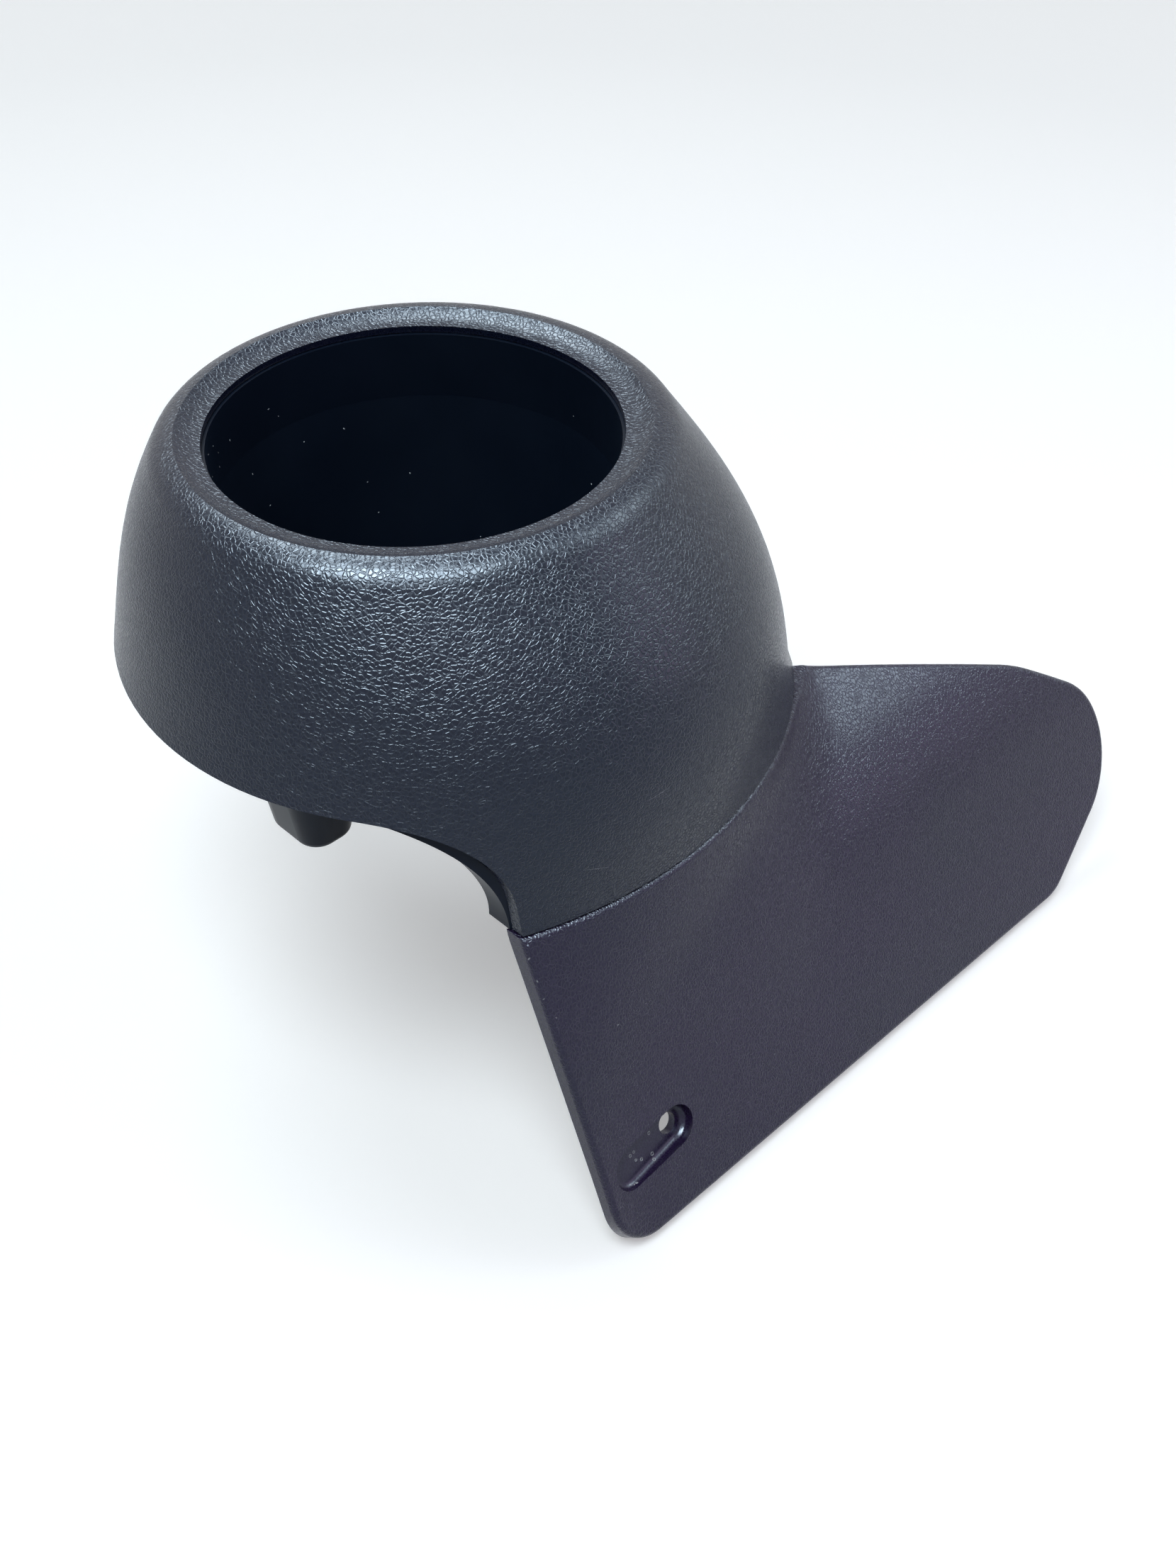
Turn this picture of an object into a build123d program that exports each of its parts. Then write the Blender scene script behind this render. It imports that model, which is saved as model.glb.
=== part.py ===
"""Car cup holder: a grained ring shroud on a neck, joined to a flange bracket that wraps a console's edge.

Millimetres. The origin is the centre of the throat's top edge, Z is the cup's axis, X runs along the
flange's straight bottom edge, and -Y is the side of the flange that faces into the car.
"""

from build123d import *
from collections import namedtuple
from math import cos, radians, sin, sqrt, tan
import os

# Mouth and crown of the shroud: the crown rolls down from its crest to the mouth's edge
MOUTH_R = 39.8
CREST_R = 45.0
MOUTH_ROLL_R = 9.0
CROWN_ROUND_R = 8.0
LIP_WALL = 2.5
LIP_DROP = 3.0
SHROUD_WALL = 2.6

# Outer form of the shroud: an ellipse at each level, larger and further off the cup's axis lower down
Level = namedtuple("Level", "z shift_x shift_y half_x half_y")
CROWN = Level(3.25, 1.2, 0.6, 48.1, 48.1)
SHOULDER = Level(-8.25, 2.1, 0.0, 55.1, 55.4)
BELLY = Level(-22.25, 3.4, -1.6, 61.7, 62.8)
HIP = Level(-42.25, 3.8, -3.3, 68.1, 67.3)
SEAM = Level(-64.25, 0.7, -3.1, 80.8, 67.4)
LEVELS = (SEAM, HIP, BELLY, SHOULDER, CROWN)

# Lower edge of the shroud: a level hem round the ring, and a skirt in front that reaches down to the seam
HEM_Z = -39.15
SKIRT_LEFT_X = -33.7
SKIRT_RIGHT_X = 64.0
SKIRT_SWEEP_R = 19.0
SEAM_GAP = 0.5

# Cup liner
LINER_R = 39.2
LINER_WALL = 2.0
LINER_GAP = 0.25
LINER_RIM_R = 42.3
LINER_RIM_THICKNESS = 2.2
LINER_FLOOR_R = 33.0
LINER_FLOOR_Z = -66.75
LINER_FLOOR_THICKNESS = 2.2
LINER_FLOOR_ROUND_R = 6.0
THROAT_LENGTH = 14.0

# Locating foot, below the liner's left side
FOOT_X = -38.9
FOOT_Y = -8.0
FOOT_LENGTH = 11.5
FOOT_WIDTH = 15.5
FOOT_CORNER_R = 4.5
FOOT_DRAFT = 9.0
FOOT_TOP_Z = -28.25
FOOT_BOTTOM_Z = -69.55
FOOT_BOTTOM_ROUND_R = 2.0
FOOT_WALL = 2.0

# Screw bosses: three hold the liner in the shroud, and four hold the neck together
BOSS_R = 3.4
PILOT_R = 1.3
PILOT_DEPTH = 8.0
SCREW_HOLE_R = 1.8
EAR_THICKNESS = 2.4
LINER_BOSS_CIRCLE_R = 47.0
LINER_BOSS_ANGLES = (90.0, 210.0, 330.0)
LINER_BOSS_END_Z = -12.25
NECK_BOSS_X = 1.0
NECK_BOSS_SPREAD = 34.0
NECK_BOSS_ABOVE_SEAM = 11.0
NECK_BOSS_BELOW_SEAM = 6.0
NECK_PAD_R = 5.4

# Flange: flat below, then rolled back over the console's edge
FLANGE_TILT = 67.0
FLANGE_BOTTOM_Y = -93.0
FLANGE_BOTTOM_Z = -134.85
FLAT_LENGTH = 40.5
ROLL_R = 64.0
ROLL_END_TILT = 25.0
BRACKET_WALL = 2.6
LIP_DEPTH = 4.0
LIP_WIDTH = 2.2
FRONT_EDGE_R = 1.2

# Outline of the bracket, drawn across the direction in which its mould opens: X, and height square to it
PULL_TILT = 45.0
BRACKET_LEFT_X = -34.2
BOTTOM_LEFT_R = 10.0
BOTTOM_RIGHT_X = 114.5
BOTTOM_RIGHT_R = 12.0
EAR_TIP_X = 157.6
EAR_TIP_HEIGHT = 26.8
EAR_TIP_R = 19.8
EAR_SHOULDER_X = 119.0
EAR_SHOULDER_HEIGHT = 55.7
EAR_SHOULDER_R = 50.0
TOP_SLOPE = 26.6
OUTLINE_HEIGHT = 105.0

# Neck of the bracket: it carries the shroud's skirt on downwards and runs out into the flange
NECK_PROUD = 0.3
NECK_FLARE_RIGHT = 0.15
NECK_FLARE_RUN = 56.0
BLEND = 13.0
BLEND_RUN = 66.0

# Ribs behind the flange
RIB_XS = (34.0, 68.0, 102.0)
RIB_THICKNESS = 1.8

# Screw recess in the flange, deeper towards its right end
RECESS_X = -19.8
RECESS_Z = -118.55
RECESS_LENGTH = 22.4
RECESS_WIDTH = 9.4
RECESS_TURN = 5.5
RECESS_DEPTH = 3.0
RECESS_FLOOR_TILT = 4.0
RECESS_BOTTOM_R = 1.5
RECESS_WALL = 1.8
PAD_PROUD = 0.6
FIXING_HOLE_R = 2.3

# Backing that closes the neck from behind
BACKING_GAP = 0.35
BACKING_DEPTH = 8.2
BACKING_WALL = 2.0
BACKING_PROUD = 0.3
BACKING_SWEEP_R = 24.0
BACKING_LEFT_X = -50.0
BACKING_RIGHT_X = 57.0
BACKING_TOP_Z = -36.25
TONGUE_DROP = 10.0
TONGUE_LEFT_X = -28.0
TONGUE_RIGHT_X = 40.0
TONGUE_CORNER_R = 3.0

# Reach of a cutting prism, and spacing and fit of the points that carry the bracket's face
REACH = 320.0
FACE_STEP_X = 5.0
FACE_STEP_Z = 3.6
FACE_MARGIN = 8.0
FACE_FIT = 0.05
SLOPE_STEP = 0.05

FRONT_NORMAL = Vector(0, -sin(radians(FLANGE_TILT)), cos(radians(FLANGE_TILT)))


def ellipse(level, inset):
    """Outer form of the shroud at one level, drawn in all round."""
    return Ellipse(level.half_x - inset, level.half_y - inset)


def skin(inset, top_drop=0.0):
    """Solid inside the shroud's outer form, drawn in all round, with its top lowered."""
    sections = []
    for level in LEVELS:
        z = level.z - top_drop if level is CROWN else level.z
        sections.append(Plane((level.shift_x, level.shift_y, z)) * ellipse(level, inset))
    return loft(sections)


def round_top(solid, radius):
    """Rounds the topmost edge of a solid."""
    return fillet(solid.edges().group_by(Axis.Z)[-1], radius)


def front_prism(sketch):
    """Prism of an outline seen from the front, right through the part."""
    return extrude(Plane.XZ * sketch, amount=REACH, both=True)


def pull_prism(sketch):
    """Prism of an outline across the bracket's mould direction, with height 0 at the bottom edge."""
    tilt = radians(PULL_TILT)
    bottom = Vector(0, FLANGE_BOTTOM_Y, FLANGE_BOTTOM_Z)
    across = Plane(bottom, x_dir=(1, 0, 0), z_dir=(0, -cos(tilt), sin(tilt)))
    return extrude(across * sketch, amount=REACH, both=True)


def front_box(left, right, bottom, top):
    """Box between two X and two Z values, right through the part."""
    return front_prism(Pos((left + right) / 2, (bottom + top) / 2) * Rectangle(right - left, top - bottom))


def half(align_y, align_z=Align.CENTER, z=0.0):
    """Everything on one side of the cup's axis, in Y and if asked also in Z."""
    return Pos(0, 0, z) * Box(REACH, REACH, REACH, align=(Align.CENTER, align_y, align_z))


def rod(radius, length, base, direction=(0, 0, 1)):
    """Cylinder that starts at base and runs along direction."""
    return extrude(Plane(base, z_dir=direction) * Circle(radius), amount=length)


def sweep_void(edge_x, side, radius, grow=0.0):
    """Space under the hem on one side of the skirt, whose inner corner is a large round.

    side is -1 left of the skirt and 1 right of it. grow moves the border into the skirt.
    """
    x = edge_x - side * grow
    align_x = Align.MAX if side < 0 else Align.MIN
    sheet = Pos(x, HEM_Z + grow) * Rectangle(REACH, REACH, align=(align_x, Align.MAX))
    corner = sheet.vertices().sort_by_distance((x, HEM_Z + grow, 0))[0]
    return front_prism(fillet(corner, radius + grow))


def ellipse_y(level, x, inset):
    """Y of the front of the shroud's outer form at one level, drawn in by inset."""
    across = (x - level.shift_x) / (level.half_x - inset)
    return level.shift_y - (level.half_y - inset) * sqrt(1 - across**2)


def neck_boss_points(z):
    """Centres of the two screws of the neck at one height, on the front face of the backing's rear wall."""
    left = NECK_BOSS_X - NECK_BOSS_SPREAD / 2
    y = ellipse_y(HIP, left, BACKING_DEPTH - BACKING_WALL)
    return [(left, y, z), (left + NECK_BOSS_SPREAD, y, z)]


def liner_boss_points(z):
    """Centres of the three screws of the liner at one height."""
    angles = [radians(a) for a in LINER_BOSS_ANGLES]
    return [(LINER_BOSS_CIRCLE_R * cos(a), LINER_BOSS_CIRCLE_R * sin(a), z) for a in angles]


UPPER_NECK_Z = SEAM.z + NECK_BOSS_ABOVE_SEAM
LOWER_NECK_Z = SEAM.z - NECK_BOSS_BELOW_SEAM


def mouth():
    """Space that the crown leaves open: a straight bore, and above it the roll up to the crest."""
    edge_z = CROWN.z - MOUTH_ROLL_R + sqrt(MOUTH_ROLL_R**2 - (CREST_R - MOUTH_R) ** 2)
    roll = RadiusArc((MOUTH_R, edge_z), (CREST_R, CROWN.z), -MOUTH_ROLL_R)
    border = Polyline((CREST_R, CROWN.z), (CREST_R, REACH), (0, REACH), (0, -REACH), (MOUTH_R, -REACH),
                      (MOUTH_R, edge_z))
    return revolve(Plane.XZ * make_face([roll, border]), Axis.Z)


def shroud():
    """Grained cover of the ring and of the front of the neck."""
    outer = round_top(skin(0.0), CROWN_ROUND_R)
    hollow = round_top(skin(SHROUD_WALL, SHROUD_WALL), CROWN_ROUND_R - SHROUD_WALL)
    lip = rod(MOUTH_R + LIP_WALL, LIP_DROP, (0, 0, CROWN.z - LIP_DROP))
    middle = round_top(skin(SHROUD_WALL / 2, SHROUD_WALL / 2), CROWN_ROUND_R - SHROUD_WALL / 2)
    body = outer - hollow + lip
    for point in liner_boss_points(LINER_BOSS_END_Z):
        body += rod(BOSS_R, CROWN.z - LINER_BOSS_END_Z, point) & middle
    for point in neck_boss_points(UPPER_NECK_Z):
        body += rod(BOSS_R, SHROUD_WALL + BACKING_DEPTH, point, (0, -1, 0)) & middle
    body -= mouth()
    for point in liner_boss_points(LINER_BOSS_END_Z):
        body -= rod(PILOT_R, PILOT_DEPTH, point)
    for point in neck_boss_points(UPPER_NECK_Z):
        body -= rod(PILOT_R, BACKING_DEPTH - BACKING_WALL - SHROUD_WALL, point, (0, -1, 0))
    body -= sweep_void(SKIRT_LEFT_X, -1, SKIRT_SWEEP_R)
    body -= sweep_void(SKIRT_RIGHT_X, 1, SKIRT_SWEEP_R)
    body -= half(Align.MIN, Align.MAX, HEM_Z)
    return body - front_box(-REACH, REACH, SEAM.z - REACH, SEAM.z + SEAM_GAP / 2)


def foot(inset, bottom_z):
    """Tapered lug with rounded corners, drawn in all round."""
    base = RectangleRounded(FOOT_LENGTH - 2 * inset, FOOT_WIDTH - 2 * inset, FOOT_CORNER_R - inset)
    height = FOOT_TOP_Z - bottom_z
    return extrude(Plane((FOOT_X, FOOT_Y, bottom_z)) * base, amount=height, taper=-FOOT_DRAFT)


def cup_liner():
    """Cup that the drink stands in, with its rim, its three screw ears and the locating foot."""
    top = CROWN.z - LIP_DROP - LINER_GAP
    rim_end = top - LINER_RIM_THICKNESS
    throat_end = top - THROAT_LENGTH
    bottom = LINER_FLOOR_Z - LINER_FLOOR_THICKNESS
    wall_r = LINER_R + LINER_WALL
    inside = Polyline((0, top), (LINER_R, top), (LINER_R, throat_end), (LINER_FLOOR_R, LINER_FLOOR_Z),
                      (0, LINER_FLOOR_Z), close=True)
    outside = Polyline((0, top), (LINER_RIM_R, top), (LINER_RIM_R, rim_end), (wall_r, rim_end),
                       (wall_r, throat_end), (LINER_FLOOR_R + LINER_WALL, bottom), (0, bottom), close=True)
    well = revolve(Plane.XZ * make_face(inside), Axis.Z)
    well = fillet(well.edges().group_by(Axis.Z)[0], LINER_FLOOR_ROUND_R)
    body = revolve(Plane.XZ * make_face(outside), Axis.Z)
    body = fillet(body.edges().group_by(Axis.Z)[0], LINER_FLOOR_ROUND_R)
    lug = foot(0.0, FOOT_BOTTOM_Z)
    lug = fillet(lug.edges().group_by(Axis.Z)[0], FOOT_BOTTOM_ROUND_R)
    body += lug - foot(FOOT_WALL, FOOT_BOTTOM_Z + FOOT_WALL)
    ear_z = LINER_BOSS_END_Z - EAR_THICKNESS
    for angle in LINER_BOSS_ANGLES:
        ear = Rectangle(LINER_BOSS_CIRCLE_R, 2 * BOSS_R, align=(Align.MIN, Align.CENTER))
        ear += Pos(LINER_BOSS_CIRCLE_R, 0) * Circle(BOSS_R)
        body += extrude(Plane((0, 0, ear_z)) * Rot(0, 0, angle) * ear, amount=EAR_THICKNESS)
    for point in liner_boss_points(ear_z):
        body -= rod(SCREW_HOLE_R, EAR_THICKNESS, point)
    return body - well


def neck_backing():
    """Smooth channel that closes the hollow neck from behind, with a tongue down into the bracket."""
    front = SHROUD_WALL + BACKING_GAP
    edge_x = SKIRT_LEFT_X - BACKING_PROUD
    body = skin(front, SHROUD_WALL) - skin(BACKING_DEPTH, BACKING_DEPTH)
    body &= front_box(BACKING_LEFT_X, BACKING_RIGHT_X, SEAM.z, BACKING_TOP_Z)
    body -= sweep_void(edge_x, -1, BACKING_SWEEP_R)
    body -= half(Align.MIN)
    pocket = skin(0.0) - skin(BACKING_DEPTH - BACKING_WALL, BACKING_DEPTH)
    pocket &= front_box(BACKING_LEFT_X + BACKING_WALL, BACKING_RIGHT_X - BACKING_WALL,
                        SEAM.z + BACKING_WALL, BACKING_TOP_Z - BACKING_WALL)
    body -= pocket - sweep_void(edge_x, -1, BACKING_SWEEP_R, BACKING_WALL)
    seam_plane = Plane((SEAM.shift_x, SEAM.shift_y, SEAM.z))
    wall = ellipse(SEAM, BACKING_DEPTH - BACKING_WALL) - ellipse(SEAM, BACKING_DEPTH)
    tongue_width = TONGUE_RIGHT_X - TONGUE_LEFT_X
    sheet = RectangleRounded(tongue_width, 2 * TONGUE_DROP, TONGUE_CORNER_R)
    tongue = extrude(seam_plane * wall, amount=-TONGUE_DROP)
    tongue &= front_prism(Pos((TONGUE_LEFT_X + TONGUE_RIGHT_X) / 2, SEAM.z) * sheet)
    body += tongue & half(Align.MAX)
    for point in neck_boss_points(UPPER_NECK_Z) + neck_boss_points(LOWER_NECK_Z):
        socket = Vector(point) - Vector(0, BACKING_WALL, 0)
        body += rod(NECK_PAD_R, 2 * BACKING_WALL, socket, (0, 1, 0))
        body -= rod(BOSS_R + BACKING_GAP, BACKING_DEPTH, point, (0, -1, 0))
        body -= rod(SCREW_HOLE_R, BACKING_WALL, point, (0, 1, 0))
    return body


def flange_y(z):
    """Y of the flange's front at one height: flat, then a round roll, then straight on."""
    tilt = radians(FLANGE_TILT)
    end = radians(ROLL_END_TILT)
    flat_top_y = FLANGE_BOTTOM_Y + FLAT_LENGTH * cos(tilt)
    flat_top_z = FLANGE_BOTTOM_Z + FLAT_LENGTH * sin(tilt)
    roll_top_y = flat_top_y + ROLL_R * (sin(tilt) - sin(end))
    roll_top_z = flat_top_z + ROLL_R * (cos(end) - cos(tilt))
    if z < flat_top_z:
        return flat_top_y + (z - flat_top_z) / tan(tilt)
    if z < roll_top_z:
        rise = (z - flat_top_z) / ROLL_R + cos(tilt)
        return flat_top_y + ROLL_R * (sin(tilt) - sqrt(1 - rise**2))
    return roll_top_y + (z - roll_top_z) / tan(end)


def neck_y(x, z):
    """Y of the neck's front: the shroud's seam outline, which flares forwards on its way down.

    At the bracket's left edge the flare follows the flat of the flange, and it eases off to the right.
    """
    across = (x - SEAM.shift_x) / SEAM.half_x
    if abs(across) >= 1:
        return REACH
    run = min(max((x - BRACKET_LEFT_X) / NECK_FLARE_RUN, 0), 1)
    flare_left = 1 / tan(radians(FLANGE_TILT))
    flare = NECK_FLARE_RIGHT + (flare_left - NECK_FLARE_RIGHT) * (1 - run) ** 2
    seam_y = SEAM.shift_y - NECK_PROUD - SEAM.half_y * sqrt(1 - across**2)
    return seam_y - flare * max(SEAM.z - z, 0)


def front_y(x, z):
    """Y of the bracket's front: flange or neck, whichever is in front, with a hollow blend between."""
    if x < BRACKET_LEFT_X:
        return 2 * front_y(BRACKET_LEFT_X, z) - front_y(2 * BRACKET_LEFT_X - x, z)
    run = min((x - BRACKET_LEFT_X) / BLEND_RUN, 1)
    width = BLEND * run**2 * (3 - 2 * run)
    flange, neck = flange_y(z), neck_y(x, z)
    overlap = max(width - abs(flange - neck), 0)
    if overlap == 0:
        return min(flange, neck)
    return min(flange, neck) - overlap**2 / (4 * width)


def face_at(depth):
    """Surface that runs at one depth behind the bracket's front, measured square to it."""
    columns = round((EAR_TIP_X - BRACKET_LEFT_X + 2 * FACE_MARGIN) / FACE_STEP_X)
    rows = round((SEAM.z - FLANGE_BOTTOM_Z + 2 * FACE_MARGIN) / FACE_STEP_Z)
    points = []
    for j in range(rows + 1):
        z = FLANGE_BOTTOM_Z - FACE_MARGIN + j * FACE_STEP_Z
        row = []
        for i in range(columns + 1):
            x = BRACKET_LEFT_X - FACE_MARGIN + i * FACE_STEP_X
            slope_x = (front_y(x + SLOPE_STEP, z) - front_y(x - SLOPE_STEP, z)) / (2 * SLOPE_STEP)
            slope_z = (front_y(x, z + SLOPE_STEP) - front_y(x, z - SLOPE_STEP)) / (2 * SLOPE_STEP)
            row.append((x, front_y(x, z) + depth * sqrt(1 + slope_x**2 + slope_z**2), z))
        points.append(row)
    return Face.make_surface_from_array_of_points(points, tol=FACE_FIT)


def in_front(depth):
    """Everything in front of the surface at one depth."""
    return extrude(face_at(depth), amount=REACH, dir=(0, -1, 0))


def behind(depth):
    """Everything behind the surface at one depth."""
    return extrude(face_at(depth), amount=REACH, dir=(0, 1, 0))


def bracket_outline():
    """Outline of the bracket across its mould direction; the seam cuts its top off later."""
    top_x = EAR_SHOULDER_X - (OUTLINE_HEIGHT - EAR_SHOULDER_HEIGHT) / tan(radians(TOP_SLOPE))
    corners = [(BRACKET_LEFT_X, OUTLINE_HEIGHT), (BRACKET_LEFT_X, 0), (BOTTOM_RIGHT_X, 0),
               (EAR_TIP_X, EAR_TIP_HEIGHT), (EAR_SHOULDER_X, EAR_SHOULDER_HEIGHT), (top_x, OUTLINE_HEIGHT)]
    radii = [LIP_WIDTH * 2, BOTTOM_LEFT_R, BOTTOM_RIGHT_R, EAR_TIP_R, EAR_SHOULDER_R, LIP_WIDTH * 2]
    return make_face(FilletPolyline(*corners, radius=radii, close=True))


def recess_plane(depth):
    """Plane of the recess, parallel to the flat of the flange and depth behind it."""
    turn = radians(RECESS_TURN)
    tilt = radians(FLANGE_TILT)
    along = Vector(cos(turn), sin(turn) * cos(tilt), sin(turn) * sin(tilt))
    centre = Vector(RECESS_X, flange_y(RECESS_Z), RECESS_Z) - FRONT_NORMAL * depth
    return Plane(centre, x_dir=along, z_dir=FRONT_NORMAL)


def recess_prism(grow, near, far):
    """Prism of the recess's outline, from one depth behind the flange's face to another."""
    slot = SlotOverall(RECESS_LENGTH + 2 * grow, RECESS_WIDTH + 2 * grow)
    return extrude(recess_plane(near) * slot, amount=near - far)


def recess_pocket():
    """Hollow of the recess, whose floor falls away to the right."""
    floor = recess_plane(RECESS_DEPTH) * Pos(RECESS_LENGTH / 2, 0, 0) * Rot(0, RECESS_FLOOR_TILT, 0)
    above = floor * Box(REACH, REACH, REACH, align=(Align.CENTER, Align.CENTER, Align.MIN))
    pocket = recess_prism(0.0, -LIP_DEPTH, LIP_DEPTH) & above
    bottom = pocket.faces().sort_by(Axis((0, 0, 0), FRONT_NORMAL))[0]
    return fillet(bottom.edges(), RECESS_BOTTOM_R)


def bracket():
    """Flange with its ear, its rolled top, its neck and its turned rim, moulded in one piece."""
    outline = bracket_outline()
    top = SEAM.z - SEAM_GAP / 2
    low = FLANGE_BOTTOM_Z - FACE_MARGIN / 2
    body = pull_prism(outline) - in_front(0.0)
    body &= front_box(-REACH, REACH, low, top)
    front = body.faces().filter_by(GeomType.BSPLINE).sort_by(Axis.Y)[0]
    body = fillet(front.outer_wire().edges(), FRONT_EDGE_R)
    cavity = pull_prism(offset(outline, -LIP_WIDTH)) - in_front(BRACKET_WALL)
    cavity &= front_box(-REACH, REACH, low, top - LIP_WIDTH)
    for x in RIB_XS:
        cavity -= front_box(x - RIB_THICKNESS / 2, x + RIB_THICKNESS / 2, -REACH, REACH)
    body -= cavity
    body -= behind(LIP_DEPTH)
    body += recess_prism(RECESS_WALL, BRACKET_WALL / 2, LIP_DEPTH + PAD_PROUD)
    body -= recess_pocket()
    end_centre = (RECESS_LENGTH - RECESS_WIDTH) / 2
    hole = recess_plane(LIP_DEPTH + PAD_PROUD) * Pos(end_centre, 0, 0) * Circle(FIXING_HOLE_R)
    body -= extrude(hole, amount=2 * LIP_DEPTH)
    mid_wall = in_front(BRACKET_WALL / 2)
    for point in neck_boss_points(LOWER_NECK_Z):
        body += rod(BOSS_R, SHROUD_WALL + BACKING_DEPTH, point, (0, -1, 0)) - mid_wall
        body -= rod(PILOT_R, BACKING_DEPTH - BACKING_WALL - BRACKET_WALL, point, (0, -1, 0))
    return body


NODES = {
    "shroud": shroud,
    "cup_liner": cup_liner,
    "neck_backing": neck_backing,
    "bracket": bracket,
}

os.makedirs("parts", exist_ok=True)
for name, build in NODES.items():
    export_step(build(), f"parts/{name}.step")
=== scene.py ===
# Car cup holder: surfaces, screws, marks, camera and light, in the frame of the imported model.
# Metres. The origin is the centre of the throat's top edge, Z is the cup's axis, and the flange
# faces -Y.

import math
import random

import bmesh
import bpy
from mathutils import Matrix, Quaternion, Vector
from mathutils.bvhtree import BVHTree


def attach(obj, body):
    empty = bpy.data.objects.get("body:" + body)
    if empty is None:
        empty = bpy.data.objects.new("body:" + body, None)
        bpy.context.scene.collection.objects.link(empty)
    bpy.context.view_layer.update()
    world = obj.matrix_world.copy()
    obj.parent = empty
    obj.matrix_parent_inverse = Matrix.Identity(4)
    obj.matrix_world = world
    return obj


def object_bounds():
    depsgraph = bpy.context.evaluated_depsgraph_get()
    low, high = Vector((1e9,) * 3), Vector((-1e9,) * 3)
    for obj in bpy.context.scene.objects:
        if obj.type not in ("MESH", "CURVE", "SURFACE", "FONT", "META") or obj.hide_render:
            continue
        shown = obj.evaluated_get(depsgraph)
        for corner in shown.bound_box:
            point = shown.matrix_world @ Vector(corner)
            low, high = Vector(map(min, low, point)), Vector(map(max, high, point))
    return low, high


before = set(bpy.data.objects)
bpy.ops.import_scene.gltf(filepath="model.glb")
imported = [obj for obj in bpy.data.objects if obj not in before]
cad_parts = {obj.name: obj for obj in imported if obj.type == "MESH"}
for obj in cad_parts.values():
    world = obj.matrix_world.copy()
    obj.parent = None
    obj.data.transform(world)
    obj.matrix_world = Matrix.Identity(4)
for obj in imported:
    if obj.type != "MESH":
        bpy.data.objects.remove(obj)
cad_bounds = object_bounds()

MM = 0.001

# Photograph: its height and focal length in pixels, and the camera that was solved from it
PHOTO_HEIGHT_PX = 2212
FOCAL_PX = 2600
SENSOR_MM = 36.0
CAMERA_PLACE = Vector((-190.07, -238.81, 181.15)) * MM
CAMERA_FORWARD = Vector((0.5264, 0.5319, -0.6634))
CAMERA_ROLL_DEG = -0.229
CAMERA_CLIP_START = 0.01

WHITE = (1.0, 1.0, 1.0, 1.0)

# Soft panels, all aimed at the part: direction from it, distance and width in metres, colour, power
# in watts, and whether only reflections see the panel, as windows that glint on black plastic
AIM = Vector((20.0, -30.0, -50.0)) * MM
COOL = (0.88, 0.96, 1.0)
PANELS = {
    "key": (Vector((-0.40, -0.20, 0.89)), 1.0, 0.50, COOL, 7.4, False),
    "back": (Vector((0.02, 0.47, 0.88)), 1.0, 0.50, COOL, 3.0, False),
    "right": (Vector((0.64, -0.42, 0.64)), 1.0, 0.40, COOL, 1.9, False),
    "window_left": (Vector((-0.52, -0.08, 0.85)), 1.0, 0.50, COOL, 30.0, True),
    "window_front": (Vector((-0.25, -0.45, 0.86)), 1.0, 0.45, COOL, 18.0, True),
    "window_back": (Vector((0.05, 0.45, 0.89)), 1.0, 0.60, COOL, 18.0, True),
    "window_right": (Vector((0.64, -0.42, 0.64)), 1.0, 0.45, COOL, 12.0, True),
    "low_right": (Vector((0.55, -0.80, 0.25)), 0.8, 0.36, (1.0, 0.70, 1.0), 0.6, False),
}
WORLD_COLOR = (0.90, 0.92, 1.0, 1.0)
WORLD_STRENGTH = 0.12

# Floor: pale, with a glow for the eye and for reflections, so that it shows white and keeps the
# shadow. The glow rises to full white between two distances from the part, in metres.
FLOOR_SIZE = 8.0
FLOOR_COLOR = (0.80, 0.80, 0.80, 1.0)
FLOOR_GLOW = 0.35
FLOOR_FADE = (0.6, 2.2)

# Grained plastic: two base tints that drift into each other, a thin film of dust, and the gloss
# Painted light in the casts: the bracket's purple glow from the right, the shroud's teal shade
GRAINED_TONES_AND_PAINTED_CASTS = {
    "shroud": ((0.0010, 0.0050, 0.0150, 1.0), (0.0060, 0.0050, 0.0180, 1.0)),
    "bracket": ((0.0140, 0.0030, 0.0300, 1.0), (0.0060, 0.0060, 0.0180, 1.0)),
}
TINT_NOISE = {"Scale": 0.02 / MM, "Detail": 2.0}
FILM_TINT = (0.040, 0.044, 0.055, 1.0)
FILM_NOISE = {"Scale": 0.9 / MM, "Detail": 3.0}
FILM_RANGE = (0.60, 0.85)
FILM_MOST = 0.35
GRAINED_ROUGHNESS = 0.25
PLAIN_ROUGHNESS = 0.22
CREASE_ROUGHNESS = 0.10
SPECULAR = 0.34
SPECULAR_TINT = (0.78, 0.90, 1.0, 1.0)

# Leather grain: pebble size and depth, its stretch on each node, how far noise pushes the cells
# about, the width of a crease as a share of a cell, and the slow sway of the pebbles' tops
GRAIN_CELL = 0.85 * MM
GRAIN_DEPTH = 0.055 * MM
GRAIN_STRETCH = {"shroud": (1.0, 1.0, 1.0), "bracket": (1.3, 0.85, 0.85)}
WARP_NOISE = {"Scale": 0.45 / GRAIN_CELL, "Detail": 1.0}
WARP_REACH = 1.1 * GRAIN_CELL
CREASE_WIDTH = 0.20
SWAY_NOISE = {"Scale": 0.8 / GRAIN_CELL, "Detail": 1.0}
SWAY_DEPTH = 0.6

# Which way the grained side faces: outwards and up on the shroud, forwards and up on the bracket.
# The grain begins and is full at two values of how far a surface turns that way.
SHROUD_UP = 1.2
BRACKET_FRONT = -1.0
BRACKET_UP = 0.8
GRAINED_TURN = (0.05, 0.30)
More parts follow.
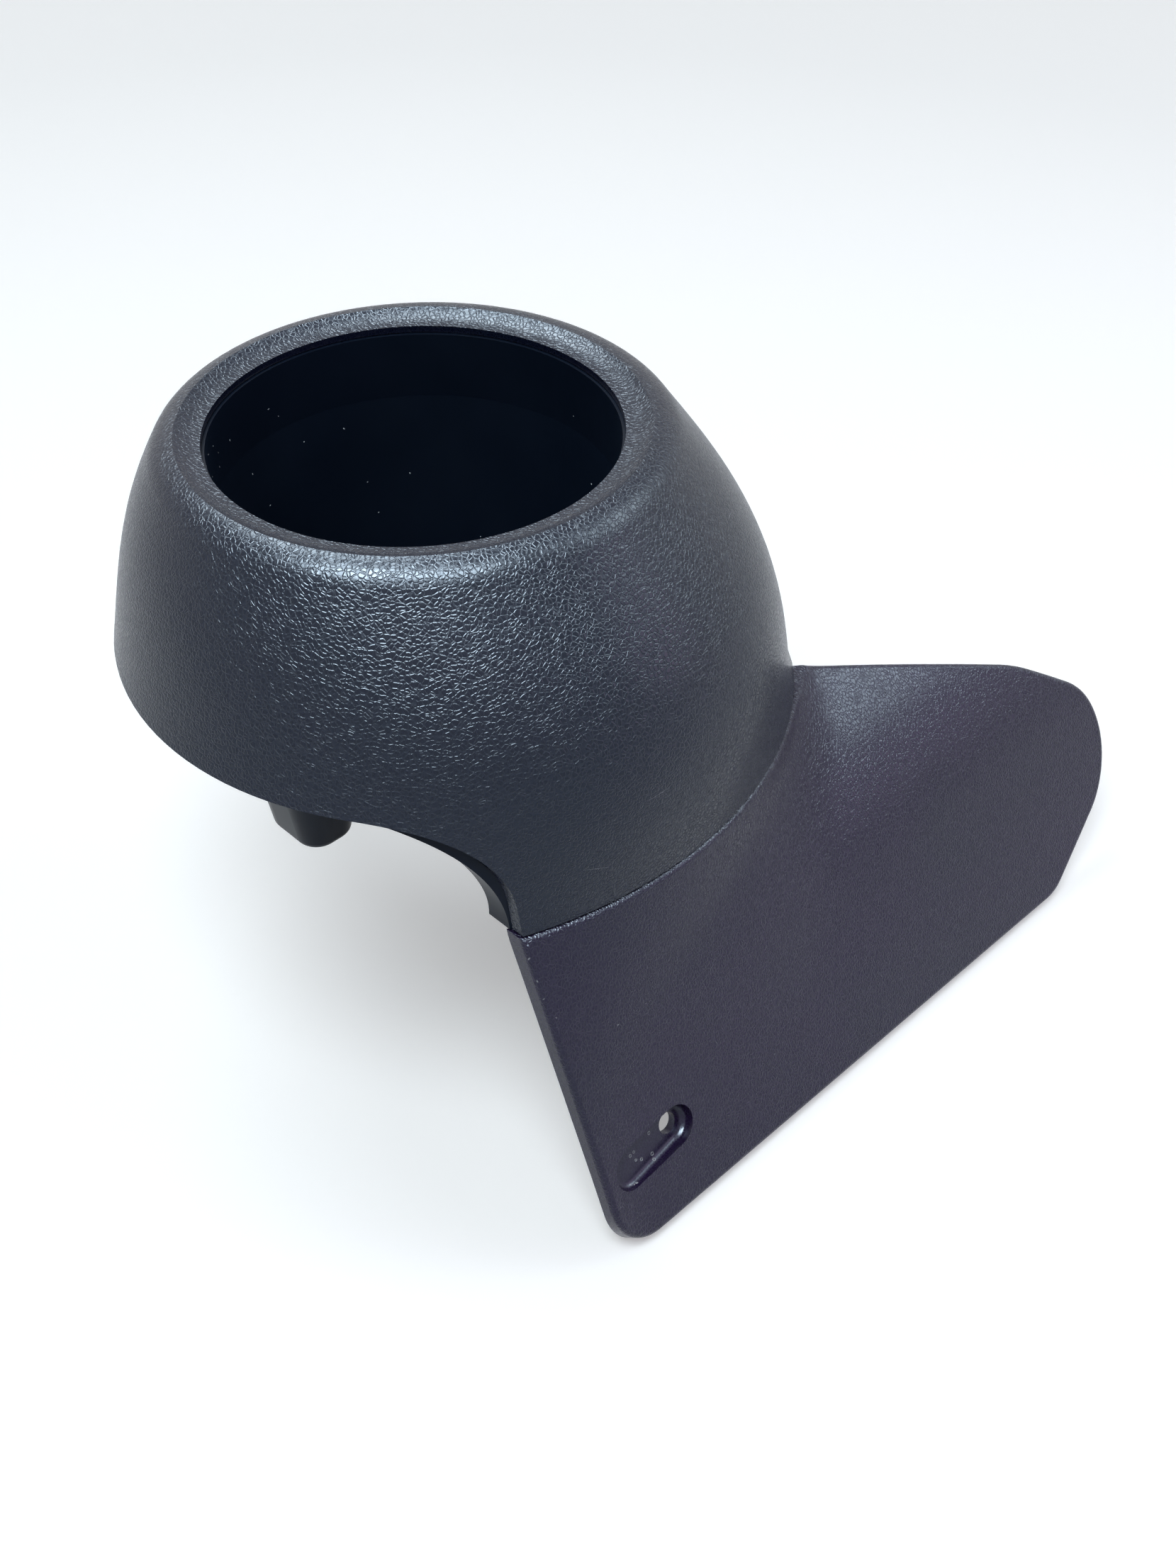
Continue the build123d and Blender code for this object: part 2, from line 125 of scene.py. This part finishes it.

# Smooth plastic of the liner and the backing
# The tints' blue cast is painted sheen, the cup's reflection of the key put into the colour
SMOOTH_TONES_AND_PAINTED_SHEEN = ((0.0030, 0.0062, 0.0140, 1.0), (0.0042, 0.0085, 0.0190, 1.0))
SMOOTH_NOISE = {"Scale": 0.06 / MM, "Detail": 3.0}
SMOOTH_ROUGHNESS = (0.26, 0.38)
SMOOTH_SPECULAR = 0.10

# Screw recess in the flange: its centre, the directions along and square to it, its size, and a
# margin beyond its wall and below its edge
RECESS_CENTRE = Vector((-19.80, -86.08, -118.55)) * MM
RECESS_ALONG = Vector((0.9954, 0.0375, 0.0882))
RECESS_NORMAL = Vector((0.0, -0.9205, 0.3907))
RECESS_HALF_RUN = 6.5 * MM
RECESS_R = 4.7 * MM
RECESS_MARGIN = 0.15 * MM

# Mottle in the tint of the screws, marks and dust, and the share of the tint left where it is dark
MOTTLE_NOISE = {"Scale": 1.5 / MM, "Detail": 2.0}
MOTTLE_DARK = 0.55

# Screws: where each head seats, the way that it faces, its form and its steel. A neck screw is
# turned by some degrees, and by one more for each millimetre of X.
SCREW_DOWN = Vector((0.0, 0.0, -1.0))
SCREW_BACK = Vector((0.0, 1.0, 0.0))
LINER_SCREW_CIRCLE = 47.0 * MM
LINER_SCREW_Z = -14.65 * MM
LINER_SCREW_ANGLES = (90.0, 210.0, 330.0)
NECK_SCREW_X = (-16.0 * MM, 18.0 * MM)
NECK_SCREW_Z = (-53.25 * MM, -70.25 * MM)
NECK_SCREW_Y = -59.2 * MM
HEAD_R = 2.9 * MM
HEAD_HEIGHT = 1.9 * MM
SHANK_R = 1.25 * MM
THREAD_DEPTH = 0.3 * MM
THREAD_PITCH = 1.1 * MM
SHANK_LENGTH = 8.0 * MM
POINT_LENGTH = 1.6 * MM
NECK_SCREW_TURN = 35.0
NECK_SCREW_TURN_PER_X = 1.0 / MM
STEEL_TINT = (0.10, 0.10, 0.11, 1.0)
STEEL_ROUGHNESS = 0.32
SHARP_ANGLE = 35.0

# Head: foot as a share of its radius, shoulder and start of the dome as shares of its height, and
# its steps
HEAD_FOOT_R = 0.96
HEAD_SHOULDER = 0.12
HEAD_DOME_START = 0.35
HEAD_DOME_STEP_DEG = 10
HEAD_DOME_STEPS = 9
HEAD_STEPS = 40

# Cross recess: half length of each arm and its height, at its floor and above the head, as shares
# of the head's radius and height. The arm's half width is a share of the radius, and grows upwards.
CROSS_LEVELS = ((0.34, 0.35), (0.62, 1.10))
CROSS_SLOT = 0.11
CROSS_SLOT_BASE = 0.7
CROSS_SLOT_RISE = 0.5

# Thread: steps round and along the shank, half width of the ridge as a share of the pitch, and the
# distance within which the point's corners are merged
THREAD_STEPS = 24
THREAD_ROWS = 96
THREAD_RIDGE = 0.22
POINT_WELD = 0.01 * MM

# Marks: hairline scratches from end to end with their width, specks and chips with their length,
# and dried rings with their radius, all in millimetres
SCRATCHES = (
    ((-6.9, -69.5, -43.3), (-2.6, -70.1, -42.8), 0.16),
    ((-20.8, -67.2, -53.4), (-16.2, -68.7, -54.8), 0.12),
    ((28.9, -70.8, -79.3), (30.6, -70.0, -78.5), 0.14),
    ((36.3, -47.6, -13.0), (38.6, -46.3, -13.3), 0.22),
)
SPECKS = (
    ((-20.6, -75.9, -89.1), 0.7), ((16.3, -86.6, -119.4), 0.6), ((-33.7, -65.6, -68.4), 0.8),
    ((-33.8, -67.8, -73.0), 0.7), ((-33.7, -69.3, -76.7), 0.6), ((-32.7, -71.5, -81.0), 0.6),
    ((-33.6, -85.6, -122.0), 0.5), ((-25.8, -87.1, -123.6), 1.1), ((-26.4, -87.0, -123.9), 0.8),
    ((-27.1, -86.7, -123.4), 0.7),
)
RINGS = (
    ((-18.5, -83.2, -117.8), 0.34), ((-19.3, -85.1, -122.0), 0.36), ((-19.5, -85.9, -123.0), 0.30),
    ((-24.7, -84.1, -118.7), 0.32), ((-23.6, -84.0, -118.6), 0.26), ((-23.7, -84.7, -120.4), 0.26),
    ((-22.3, -85.0, -121.2), 0.32),
)
SCRATCH_STEP = 0.35 * MM
SCRATCH_FLECK = 0.55 * MM
SCRATCH_FADE = 0.6
SCRATCH_HEIGHT = 0.04 * MM
SPECK_HEIGHT = 0.08 * MM
SPECK_WIDTH_SHARE = 0.5
RING_TUBE = 0.09 * MM
RING_STEPS = 20
RING_SIDES = 6
MARK_TINT = (0.22, 0.23, 0.26, 1.0)
MARK_ROUGHNESS = 0.5

# Flecks: corners round the rim, and how deep the rim goes into the surface as a share of the height
FLECK_CORNERS = 8
FLECK_SUNK = 0.4

# Start of the random draws, for the marks and for the dust
SEED = 7

# Dust in the cup: flecks on the wall, most of them round one angle, in degrees
DUST_COUNT = 120
DUST_SIDE_SHARE = 0.75
DUST_SIDE_ANGLE = 168.0
DUST_SIDE_SPREAD = 30.0
DUST_HEIGHTS = (-3.0 * MM, -52.0 * MM)
DUST_LENGTH = (0.30 * MM, 0.95 * MM)
DUST_WIDTH = 0.34 * MM
DUST_WIDTH_SHARE = 0.8
DUST_HEIGHT = 0.05 * MM
DUST_START_R = 33.0 * MM
DUST_TINT = (0.50, 0.56, 0.60, 1.0)
DUST_ROUGHNESS = 0.9


def add(tree, kind, inputs=None, **settings):
    """Adds a shader node, and fills its inputs with values or with other nodes' outputs."""
    new = tree.nodes.new("ShaderNode" + kind)
    for name, value in settings.items():
        setattr(new, name, value)
    for key, value in (inputs or {}).items():
        if isinstance(value, bpy.types.NodeSocket):
            tree.links.new(value, new.inputs[key])
        else:
            new.inputs[key].default_value = value
    return new


def math_node(tree, operation, first, second=0.0):
    """Output of one sum on two values or outputs."""
    return add(tree, "Math", {0: first, 1: second}, operation=operation).outputs[0]


def vector_node(tree, operation, *values):
    """Node of one sum on vectors or outputs."""
    return add(tree, "VectorMath", dict(enumerate(values)), operation=operation)


def new_material(name, roughness):
    """Plastic with one roughness: the material, its node tree and its shader."""
    material = bpy.data.materials.new(name)
    material.use_nodes = True
    shader = material.node_tree.nodes["Principled BSDF"]
    shader.inputs["Roughness"].default_value = roughness
    return material, material.node_tree, shader


def mixed(tree, factor, first, second):
    """Output of a mix of two colours or outputs."""
    inputs = {"Factor": factor, "A": first, "B": second}
    return add(tree, "Mix", inputs, data_type="RGBA").outputs[2]


def noise(tree, place, settings):
    """Noise over the part: output 0 is its height, and Color is its three directions."""
    return add(tree, "TexNoise", {"Vector": place, **settings})


def shows_background(tree):
    """1 for the rays that show the background: of the eye, of reflections and through glass."""
    path = add(tree, "LightPath")
    seen = math_node(tree, "MAXIMUM", path.outputs["Is Camera Ray"], path.outputs["Is Glossy Ray"])
    return math_node(tree, "MAXIMUM", seen, path.outputs["Is Transmission Ray"])


def make_camera():
    """Camera at the photograph's place, with the photograph's field of view."""
    data = bpy.data.cameras.new("camera")
    data.sensor_fit = "VERTICAL"
    data.sensor_height = SENSOR_MM
    data.lens = FOCAL_PX * SENSOR_MM / PHOTO_HEIGHT_PX
    data.clip_start = CAMERA_CLIP_START
    camera = bpy.data.objects.new("camera", data)
    camera.location = CAMERA_PLACE
    camera.rotation_mode = "QUATERNION"
    roll = Quaternion(CAMERA_FORWARD, math.radians(CAMERA_ROLL_DEG))
    camera.rotation_quaternion = roll @ CAMERA_FORWARD.to_track_quat("-Z", "Y")
    bpy.context.scene.collection.objects.link(camera)
    bpy.context.scene.camera = camera


def make_light():
    """Soft panels and an even world that shows white behind the part."""
    for name, (direction, distance, width, color, power, reflections_only) in PANELS.items():
        data = bpy.data.lights.new(name, "AREA")
        data.shape = "DISK"
        data.size = width
        data.energy = power
        data.color = color
        lamp = bpy.data.objects.new(name, data)
        lamp.location = AIM + direction.normalized() * distance
        lamp.rotation_euler = direction.to_track_quat("Z", "Y").to_euler()
        lamp.visible_camera = False
        lamp.visible_diffuse = not reflections_only
        bpy.context.scene.collection.objects.link(lamp)
    world = bpy.data.worlds.new("world")
    bpy.context.scene.world = world
    world.use_nodes = True
    tree = world.node_tree
    even = tree.nodes["Background"]
    even.inputs["Color"].default_value = WORLD_COLOR
    even.inputs["Strength"].default_value = WORLD_STRENGTH
    white = add(tree, "Background", {"Color": WHITE, "Strength": 1.0})
    mix = add(tree, "MixShader",
              {0: shows_background(tree), 1: even.outputs[0], 2: white.outputs[0]})
    tree.links.new(mix.outputs[0], tree.nodes["World Output"].inputs["Surface"])


def make_floor():
    """Pale floor under the lowest point of the part."""
    mesh = bpy.data.meshes.new("floor")
    half, low = FLOOR_SIZE / 2, cad_bounds[0][2]
    corners = [(-half, -half, low), (half, -half, low), (half, half, low), (-half, half, low)]
    mesh.from_pydata(corners, [], [(0, 1, 2, 3)])
    floor = bpy.data.objects.new("floor", mesh)
    bpy.context.scene.collection.objects.link(floor)
    material, tree, shader = new_material("floor_white", 1.0)
    shader.inputs["Base Color"].default_value = FLOOR_COLOR
    shader.inputs["Specular IOR Level"].default_value = 0.0
    shader.inputs["Emission Color"].default_value = WHITE
    away = vector_node(tree, "LENGTH", add(tree, "TexCoord").outputs["Object"])
    rise = add(tree, "MapRange", {"Value": away.outputs["Value"], "From Min": FLOOR_FADE[0],
                                  "From Max": FLOOR_FADE[1], "To Min": FLOOR_GLOW, "To Max": 1.0})
    glow = math_node(tree, "MULTIPLY", shows_background(tree), rise.outputs[0])
    tree.links.new(glow, shader.inputs["Emission Strength"])
    mesh.materials.append(material)


def grain_height(tree, place, stretch):
    """Heights of the leather grain: the sway of the tops, and flat pebbles between creases."""
    scaled = vector_node(tree, "MULTIPLY", place, stretch).outputs[0]
    warp = noise(tree, scaled, WARP_NOISE).outputs["Color"]
    pushed = vector_node(tree, "MULTIPLY_ADD", warp, (WARP_REACH,) * 3, scaled)
    cells = add(tree, "TexVoronoi", {"Vector": pushed.outputs[0], "Scale": 1 / GRAIN_CELL},
                feature="DISTANCE_TO_EDGE")
    pebble = add(tree, "MapRange", {"Value": cells.outputs["Distance"], "From Max": CREASE_WIDTH},
                 interpolation_type="SMOOTHSTEP")
    sway = math_node(tree, "MULTIPLY", noise(tree, place, SWAY_NOISE).outputs[0], SWAY_DEPTH)
    return sway, pebble.outputs[0]


def outer_side(tree, coordinates, node):
    """1 on the side of the shell that faces out, and 0 on its plain inside."""
    if node == "shroud":
        flat = vector_node(tree, "MULTIPLY", coordinates.outputs["Object"], (1.0, 1.0, 0.0))
        away = vector_node(tree, "NORMALIZE", flat.outputs[0])
        facing = vector_node(tree, "ADD", away.outputs[0], (0.0, 0.0, SHROUD_UP))
    else:
        facing = add(tree, "CombineXYZ", {"Y": BRACKET_FRONT, "Z": BRACKET_UP})
    turn = vector_node(tree, "DOT_PRODUCT", coordinates.outputs["Normal"], facing.outputs[0])
    start, full = GRAINED_TURN
    inputs = {"Value": turn.outputs["Value"], "From Min": start, "From Max": full}
    return add(tree, "MapRange", inputs).outputs[0]


def outside_recess(tree, place):
    """0 inside the screw recess and 1 everywhere else."""
    off = vector_node(tree, "SUBTRACT", place, RECESS_CENTRE).outputs[0]
    axes = (RECESS_ALONG, RECESS_NORMAL.cross(RECESS_ALONG), RECESS_NORMAL)
    along, across, up = [vector_node(tree, "DOT_PRODUCT", off, axis).outputs["Value"]
                         for axis in axes]
    run = math_node(tree, "SUBTRACT", math_node(tree, "ABSOLUTE", along), RECESS_HALF_RUN)
    corner = add(tree, "CombineXYZ", {"X": math_node(tree, "MAXIMUM", run), "Y": across})
    span = vector_node(tree, "LENGTH", corner.outputs[0]).outputs["Value"]
    inside = math_node(tree, "LESS_THAN", span, RECESS_R + RECESS_MARGIN)
    deep = math_node(tree, "LESS_THAN", up, -RECESS_MARGIN)
    return math_node(tree, "SUBTRACT", 1.0, math_node(tree, "MULTIPLY", inside, deep))


def grained_plastic(node):
    """Black plastic with leather grain outside, and plain gloss inside and in the screw recess."""
    material, tree, shader = new_material("grained_" + node, GRAINED_ROUGHNESS)
    coordinates = add(tree, "TexCoord")
    place = coordinates.outputs["Object"]
    grained = outer_side(tree, coordinates, node)
    if node == "bracket":
        grained = math_node(tree, "MULTIPLY", grained, outside_recess(tree, place))
    sway, pebble = grain_height(tree, place, GRAIN_STRETCH[node])
    height = math_node(tree, "ADD", sway, pebble)
    bump = add(tree, "Bump", {"Height": height, "Strength": grained, "Distance": GRAIN_DEPTH})
    # drifting base tint with the node's painted cast of light, purple glow or teal shade
    tint = mixed(tree, noise(tree, place, TINT_NOISE).outputs[0], *GRAINED_TONES_AND_PAINTED_CASTS[node])
    film = add(tree, "MapRange", {"Value": noise(tree, place, FILM_NOISE).outputs[0],
                                  "From Min": FILM_RANGE[0], "From Max": FILM_RANGE[1],
                                  "To Max": FILM_MOST})
    dusty_with_painted_cast = mixed(tree, film.outputs[0], tint, FILM_TINT)
    crease = add(tree, "MapRange", {"Value": pebble, "To Min": CREASE_ROUGHNESS, "To Max": 0.0})
    rough = add(tree, "MapRange", {"Value": grained, "To Min": PLAIN_ROUGHNESS,
                                   "To Max": GRAINED_ROUGHNESS})
    both = math_node(tree, "ADD", rough.outputs[0], crease.outputs[0])
    tree.links.new(both, shader.inputs["Roughness"])
    tree.links.new(dusty_with_painted_cast, shader.inputs["Base Color"])
    tree.links.new(bump.outputs[0], shader.inputs["Normal"])
    shader.inputs["Specular IOR Level"].default_value = SPECULAR
    shader.inputs["Specular Tint"].default_value = SPECULAR_TINT
    return material


def smooth_plastic():
    """Black plastic with a smooth satin surface, a faint haze, and a painted blue sheen in its
    tint.
    """
    material, tree, shader = new_material("smooth_black", SMOOTH_ROUGHNESS[0])
    place = add(tree, "TexCoord").outputs["Object"]
    haze = noise(tree, place, SMOOTH_NOISE).outputs[0]
    glossiest, dullest = SMOOTH_ROUGHNESS
    rough = add(tree, "MapRange", {"Value": haze, "To Min": glossiest, "To Max": dullest})
    # tint that holds the painted blue sheen
    tree.links.new(mixed(tree, haze, *SMOOTH_TONES_AND_PAINTED_SHEEN), shader.inputs["Base Color"])
    tree.links.new(rough.outputs[0], shader.inputs["Roughness"])
    shader.inputs["Specular IOR Level"].default_value = SMOOTH_SPECULAR
    return material


def mottled(name, tint, roughness, metallic=0.0):
    """Plain material whose tint varies a little from place to place."""
    material, tree, shader = new_material(name, roughness)
    place = add(tree, "TexCoord").outputs["Object"]
    darker = tuple(MOTTLE_DARK * channel for channel in tint[:3]) + (1.0,)
    shade = mixed(tree, noise(tree, place, MOTTLE_NOISE).outputs[0], darker, tint)
    tree.links.new(shade, shader.inputs["Base Color"])
    shader.inputs["Metallic"].default_value = metallic
    return material


def piece(name, mesh, material):
    """Object of a mesh that moves with the part's one body."""
    mesh.materials.append(material)
    made = bpy.data.objects.new(name, mesh)
    bpy.context.scene.collection.objects.link(made)
    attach(made, "root")


def lathe(bm, profile, steps):
    """Turned form round Z from (radius, height) points, closed at points on the axis."""
    rings = []
    for radius, height in profile:
        if radius == 0:
            rings.append([bm.verts.new((0, 0, height))])
            continue
        turns = [math.tau * i / steps for i in range(steps)]
        circle = [(radius * math.cos(a), radius * math.sin(a), height) for a in turns]
        rings.append([bm.verts.new(point) for point in circle])
    for low, high in zip(rings, rings[1:]):
        for i in range(steps):
            j = (i + 1) % steps
            below = [low[i % len(low)], low[j % len(low)]]
            above = [high[j % len(high)], high[i % len(high)]]
            bm.faces.new(list(dict.fromkeys(below + above)))


def mesh_of(bm, name):
    """Mesh of a finished form, which is freed."""
    mesh = bpy.data.meshes.new(name)
    bm.to_mesh(mesh)
    bm.free()
    return mesh


def head_blank():
    """Turned head of the screw, before its recess is cut."""
    turns = [math.radians(HEAD_DOME_STEP_DEG * i) for i in range(HEAD_DOME_STEPS)]
    rise = 1 - HEAD_DOME_START
    dome = [(HEAD_R * math.cos(a), HEAD_HEIGHT * (HEAD_DOME_START + rise * math.sin(a)))
            for a in turns]
    foot = [(0, 0), (HEAD_R * HEAD_FOOT_R, 0), (HEAD_R, HEAD_HEIGHT * HEAD_SHOULDER)]
    bm = bmesh.new()
    lathe(bm, foot + dome + [(0, HEAD_HEIGHT)], HEAD_STEPS)
    return mesh_of(bm, "screw_head")


def cross_form():
    """Two tapered arms that cross, as the recess in the head takes them away."""
    bm = bmesh.new()
    for turn in (0, 90):
        spin = Matrix.Rotation(math.radians(turn), 4, "Z")
        arm = []
        for wide, z in CROSS_LEVELS:
            far = HEAD_R * wide
            side = HEAD_R * CROSS_SLOT * (CROSS_SLOT_BASE + CROSS_SLOT_RISE * z)
            corners = [(-far, -side), (far, -side), (far, side), (-far, side)]
            arm += [bm.verts.new(spin @ Vector((x, y, HEAD_HEIGHT * z))) for x, y in corners]
        bmesh.ops.convex_hull(bm, input=arm)
    bmesh.ops.recalc_face_normals(bm, faces=bm.faces)
    return mesh_of(bm, "screw_cross")


def cut_by(mesh, cutter_mesh):
    """Mesh with another cut out of it."""
    blank = bpy.data.objects.new("screw_blank", mesh)
    cutter = bpy.data.objects.new("screw_cutter", cutter_mesh)
    for thing in (blank, cutter):
        bpy.context.scene.collection.objects.link(thing)
    cut = blank.modifiers.new("cross", "BOOLEAN")
    cut.operation = "DIFFERENCE"
    cut.solver = "EXACT"
    cut.use_self = True
    cut.object = cutter
    finished = blank.evaluated_get(bpy.context.evaluated_depsgraph_get())
    made = bpy.data.meshes.new_from_object(finished)
    bpy.data.objects.remove(blank)
    bpy.data.objects.remove(cutter)
    return made


def add_shank(bm):
    """Threaded shank below height 0, down to its point."""
    rings = []
    for j in range(THREAD_ROWS + 1):
        depth = SHANK_LENGTH * j / THREAD_ROWS
        taper = min(1.0, (SHANK_LENGTH - depth) / POINT_LENGTH)
        ring_verts = []
        for i in range(THREAD_STEPS):
            lead = (depth / THREAD_PITCH - i / THREAD_STEPS) % 1.0
            ridge = max(0.0, 1 - abs(lead - 0.5) / THREAD_RIDGE)
            radius = (SHANK_R + THREAD_DEPTH * ridge) * taper
            a = math.tau * i / THREAD_STEPS
            ring_verts.append(bm.verts.new((radius * math.cos(a), radius * math.sin(a), -depth)))
        rings.append(ring_verts)
    for high, low in zip(rings, rings[1:]):
        for i in range(THREAD_STEPS):
            j = (i + 1) % THREAD_STEPS
            bm.faces.new([low[i], low[j], high[j], high[i]])
    bmesh.ops.remove_doubles(bm, verts=rings[-1], dist=POINT_WELD)


def screw_mesh():
    """Pan-head tapping screw with a cross recess, seated at height 0 with its head up."""
    bm = bmesh.new()
    bm.from_mesh(cut_by(head_blank(), cross_form()))
    add_shank(bm)
    bmesh.ops.recalc_face_normals(bm, faces=bm.faces)
    mesh = mesh_of(bm, "screw")
    mesh.shade_smooth()
    mesh.set_sharp_from_angle(angle=math.radians(SHARP_ANGLE))
    return mesh


def round_axis(radius, degrees):
    """X and Y of a point at a radius and angle round the cup's axis."""
    turn = math.radians(degrees)
    return radius * math.cos(turn), radius * math.sin(turn)


def make_screws():
    """Three screws that hold the liner from below, and four that hold the neck from behind."""
    steel = mottled("screw_steel", STEEL_TINT, STEEL_ROUGHNESS, metallic=1.0)
    seats = []
    for angle in LINER_SCREW_ANGLES:
        x, y = round_axis(LINER_SCREW_CIRCLE, angle)
        seats.append((Vector((x, y, LINER_SCREW_Z)), SCREW_DOWN, angle))
    for z in NECK_SCREW_Z:
        for x in NECK_SCREW_X:
            turn = NECK_SCREW_TURN + NECK_SCREW_TURN_PER_X * x
            seats.append((Vector((x, NECK_SCREW_Y, z)), SCREW_BACK, turn))
    model = screw_mesh()
    for number, (seat, facing, turn) in enumerate(seats, 1):
        mesh = model.copy()
        spin = facing.to_track_quat("Z", "Y") @ Quaternion((0, 0, 1), math.radians(turn))
        mesh.transform(Matrix.Translation(seat) @ spin.to_matrix().to_4x4())
        piece(f"screw_{number}", mesh, steel)
    bpy.data.meshes.remove(model)


def surface(node):
    """Search tree of a node's mesh, for the nearest point on it."""
    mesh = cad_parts[node].data
    return BVHTree.FromPolygons([v.co for v in mesh.vertices], [p.vertices for p in mesh.polygons])


def nearest(trees, point):
    """Nearest point on any of the surfaces, and the way out of the surface there."""
    hits = [tree.find_nearest(point) for tree in trees]
    spot, normal, _, _ = min(hits, key=lambda hit: hit[3])
    return spot, normal


def fleck(bm, spot, normal, direction, length, width, height):
    """Low long grain of dust or raised plastic on a surface."""
    along = (direction - normal * direction.dot(normal)).normalized()
    across = normal.cross(along)
    top = bm.verts.new(spot + normal * height)
    rim = []
    for i in range(FLECK_CORNERS):
        angle = math.tau * i / FLECK_CORNERS
        reach = along * (0.5 * length * math.cos(angle)) + across * (0.5 * width * math.sin(angle))
        rim.append(bm.verts.new(spot + reach - normal * height * FLECK_SUNK))
    for i in range(FLECK_CORNERS):
        bm.faces.new([rim[i], rim[(i + 1) % FLECK_CORNERS], top])


def ring(bm, spot, normal, radius):
    """Small ring, as a dried drop leaves it."""
    first = normal.orthogonal().normalized()
    second = normal.cross(first)
    rows = []
    for i in range(RING_STEPS):
        angle = math.tau * i / RING_STEPS
        out = first * math.cos(angle) + second * math.sin(angle)
        row = []
        for k in range(RING_SIDES):
            tilt = math.tau * k / RING_SIDES
            push = out * (radius + RING_TUBE * math.cos(tilt)) + normal * RING_TUBE * math.sin(tilt)
            row.append(bm.verts.new(spot + push))
        rows.append(row)
    for i in range(RING_STEPS):
        near, far = rows[i], rows[(i + 1) % RING_STEPS]
        for k in range(RING_SIDES):
            m = (k + 1) % RING_SIDES
            bm.faces.new([near[k], far[k], far[m], near[m]])


def any_direction(chance):
    """Direction drawn at random."""
    return Vector((chance.uniform(-1, 1), chance.uniform(-1, 1), chance.uniform(-1, 1)))


def make_marks():
    """Scratches, chips, specks and dried rings, each on the grained surface that is nearest."""
    trees = [surface("shroud"), surface("bracket")]
    chance = random.Random(SEED)
    bm = bmesh.new()
    for start, end, width in SCRATCHES:
        start, end = Vector(start) * MM, Vector(end) * MM
        count = max(2, round((end - start).length / SCRATCH_STEP))
        for i in range(count + 1):
            spot, normal = nearest(trees, start.lerp(end, i / count))
            fade = 1 - SCRATCH_FADE * abs(2 * i / count - 1)
            fleck(bm, spot, normal, end - start, SCRATCH_FLECK, width * MM * fade, SCRATCH_HEIGHT)
    for place, length in SPECKS:
        spot, normal = nearest(trees, Vector(place) * MM)
        width = SPECK_WIDTH_SHARE * length * MM
        fleck(bm, spot, normal, any_direction(chance), length * MM, width, SPECK_HEIGHT)
    for place, radius in RINGS:
        spot, normal = nearest(trees, Vector(place) * MM)
        ring(bm, spot, normal, radius * MM)
    mesh = mesh_of(bm, "marks")
    mesh.shade_smooth()
    piece("marks", mesh, mottled("worn_plastic", MARK_TINT, MARK_ROUGHNESS))


def make_dust():
    """Dust flecks on the wall of the cup."""
    trees = [surface("cup_liner")]
    chance = random.Random(SEED)
    bm = bmesh.new()
    for _ in range(DUST_COUNT):
        angle = chance.uniform(0, 360)
        if chance.random() < DUST_SIDE_SHARE:
            angle = chance.gauss(DUST_SIDE_ANGLE, DUST_SIDE_SPREAD)
        height = chance.uniform(*DUST_HEIGHTS)
        x, y = round_axis(DUST_START_R, angle)
        spot, normal = nearest(trees, Vector((x, y, height)))
        direction = any_direction(chance)
        length = chance.triangular(DUST_LENGTH[0], DUST_LENGTH[1], DUST_LENGTH[0])
        width = min(DUST_WIDTH, DUST_WIDTH_SHARE * length)
        fleck(bm, spot, normal, direction, length, width, DUST_HEIGHT)
    piece("dust", mesh_of(bm, "dust"), mottled("dust", DUST_TINT, DUST_ROUGHNESS))


def dress(node, material):
    """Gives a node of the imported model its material."""
    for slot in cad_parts[node].material_slots:
        slot.material = material


bpy.context.scene.view_settings.view_transform = "Standard"
make_camera()
make_light()
make_floor()
smooth = smooth_plastic()
dress("shroud", grained_plastic("shroud"))
dress("bracket", grained_plastic("bracket"))
dress("cup_liner", smooth)
dress("neck_backing", smooth)
make_screws()
make_marks()
make_dust()
